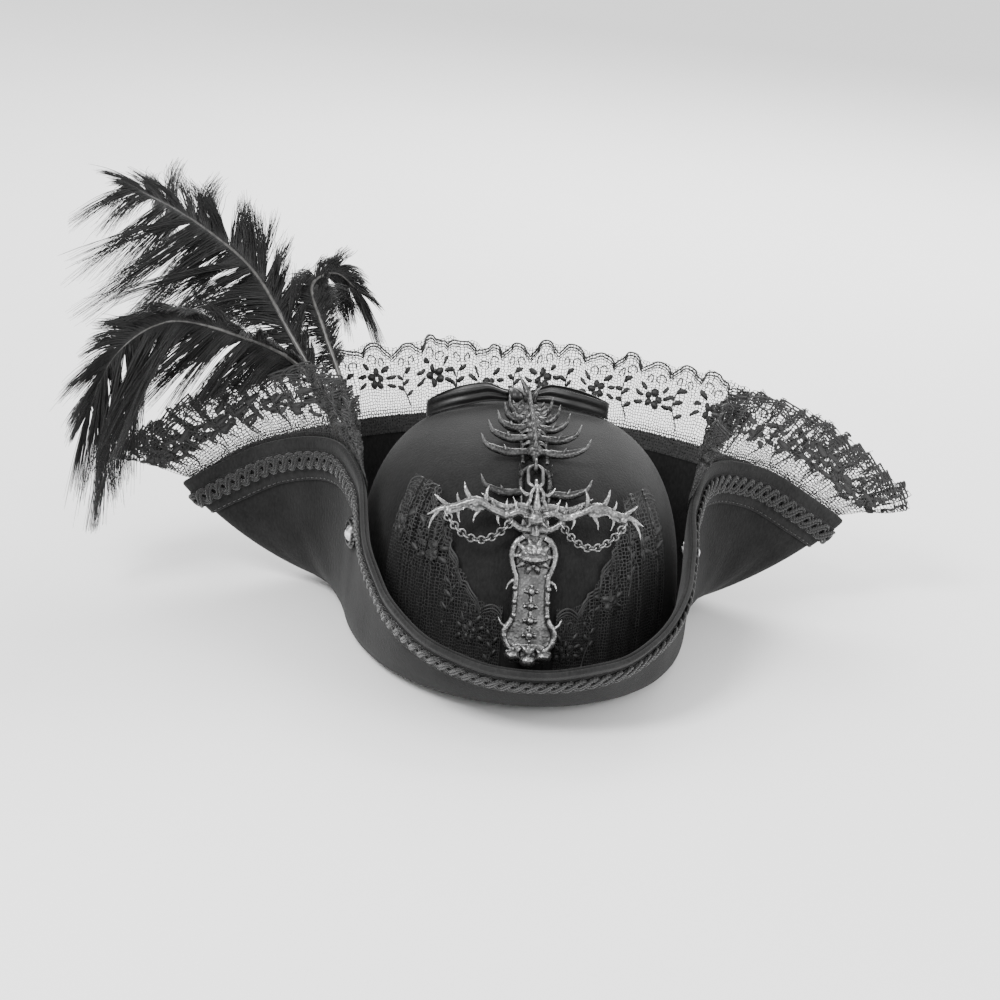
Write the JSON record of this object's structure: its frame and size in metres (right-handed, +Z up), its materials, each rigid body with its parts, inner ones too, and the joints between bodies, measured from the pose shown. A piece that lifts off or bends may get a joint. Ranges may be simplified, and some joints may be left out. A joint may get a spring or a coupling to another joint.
{
  "type": "tricorn pirate hat",
  "caption": "tricorn pirate hat in felt with turned-up brim, braid, gathered lace, ostrich plumes, bow, spine ornament and a hinged cross pendant with chains",
  "frame": {"origin": "centre of the head opening, on the base plane that the hat rests on", "axes": "+Z up through the crown, -Y to the front of the hat, +X to the viewer's right when looking at its front, so the plumes are on the -X side"},
  "size_m": [0.446, 0.3604, 0.1969],
  "materials": {
    "wool_felt": "black wool felt, soft and matt, with fine fibres",
    "felt_facing": "black felt facing, matt, stitched along its lower edge",
    "gimp_braid": "black zigzag gimp braid of twisted cords",
    "lace": "black scalloped lace on a net ground",
    "lining": "black satin-weave lining",
    "sweatband": "black ribbed ribbon sweatband",
    "dark_metal": "blackened cast metal with worn edges",
    "polished_metal": "polished steel-coloured rivet cap",
    "worn_metal": "antiqued cast metal, dark in the hollows and brighter on the edges",
    "satin": "black satin ribbon",
    "plume": "black ostrich barbs",
    "quill": "dyed dark quill, slightly glossy",
    "binding": "black waxed thread winding"
  },
  "bodies": {
    "hat": {"crown": "wool_felt", "brim": "wool_felt", "edge_facing": "felt_facing", "braid_trim": "gimp_braid", "sweatband": "sweatband", "crown_lining": "lining", "lace_ruffle_left": "lace", "lace_ruffle_right": "lace", "lace_ruffle_back": "lace", "lace_flounce_left": "lace", "lace_flounce_right": "lace", "left_stud_bezel": "dark_metal", "left_stud_dome": "polished_metal", "left_stud_washer": "dark_metal", "right_stud_bezel": "dark_metal", "right_stud_dome": "polished_metal", "right_stud_washer": "dark_metal", "back_stud_bezel": "dark_metal", "back_stud_dome": "polished_metal", "back_stud_washer": "dark_metal", "bow_left_loop": "satin", "bow_right_loop": "satin", "bow_knot": "satin", "spine": "dark_metal", "spine_ribs": "dark_metal", "spine_spikes": "dark_metal", "plume_tab": "wool_felt"},
    "bail": {"bail_ring": "worn_metal"},
    "cross": {"cross_frame": "worn_metal", "cross_rosette": "worn_metal", "cross_beads": "worn_metal"},
    "left_swag": {"left_chain": "worn_metal"},
    "right_swag": {"right_chain": "worn_metal"},
    "plumes": {"plume_tall_quill": "quill", "plume_tall_vane": "plume", "plume_droop_quill": "quill", "plume_droop_vane": "plume", "plume_curl_quill": "quill", "plume_curl_vane": "plume", "plume_binding": "binding"}
  },
  "joints": [
    {"name": "bail_lift", "type": "hinge", "parent": "hat", "child": "bail", "pos_m": [0, -0.066, 0.1065], "axis": [-1, 0, 0], "range_deg": [0, 35]},
    {"name": "cross_swing", "type": "hinge", "parent": "bail", "child": "cross", "pos_m": [0, -0.077, 0.0995], "axis": [0, -0.9613, 0.2756], "range_deg": [-12, 12]},
    {"name": "left_chain_swing", "type": "hinge", "parent": "cross", "child": "left_swag", "pos_m": [-0.043, -0.09617, 0.0896], "axis": [0.9979, -0.0177, -0.0619], "range_deg": [-15, 15]},
    {"name": "right_chain_swing", "type": "hinge", "parent": "cross", "child": "right_swag", "pos_m": [0.013, -0.097, 0.08672], "axis": [0.9987, 0.0142, 0.0497], "range_deg": [-15, 15]},
    {"name": "plume_sway", "type": "hinge", "parent": "hat", "child": "plumes", "pos_m": [-0.09, 0.027, 0.058], "axis": [0, 1, 0], "range_deg": [-4, 8], "stiffness_Nm_per_rad": 0.6}
  ]
}
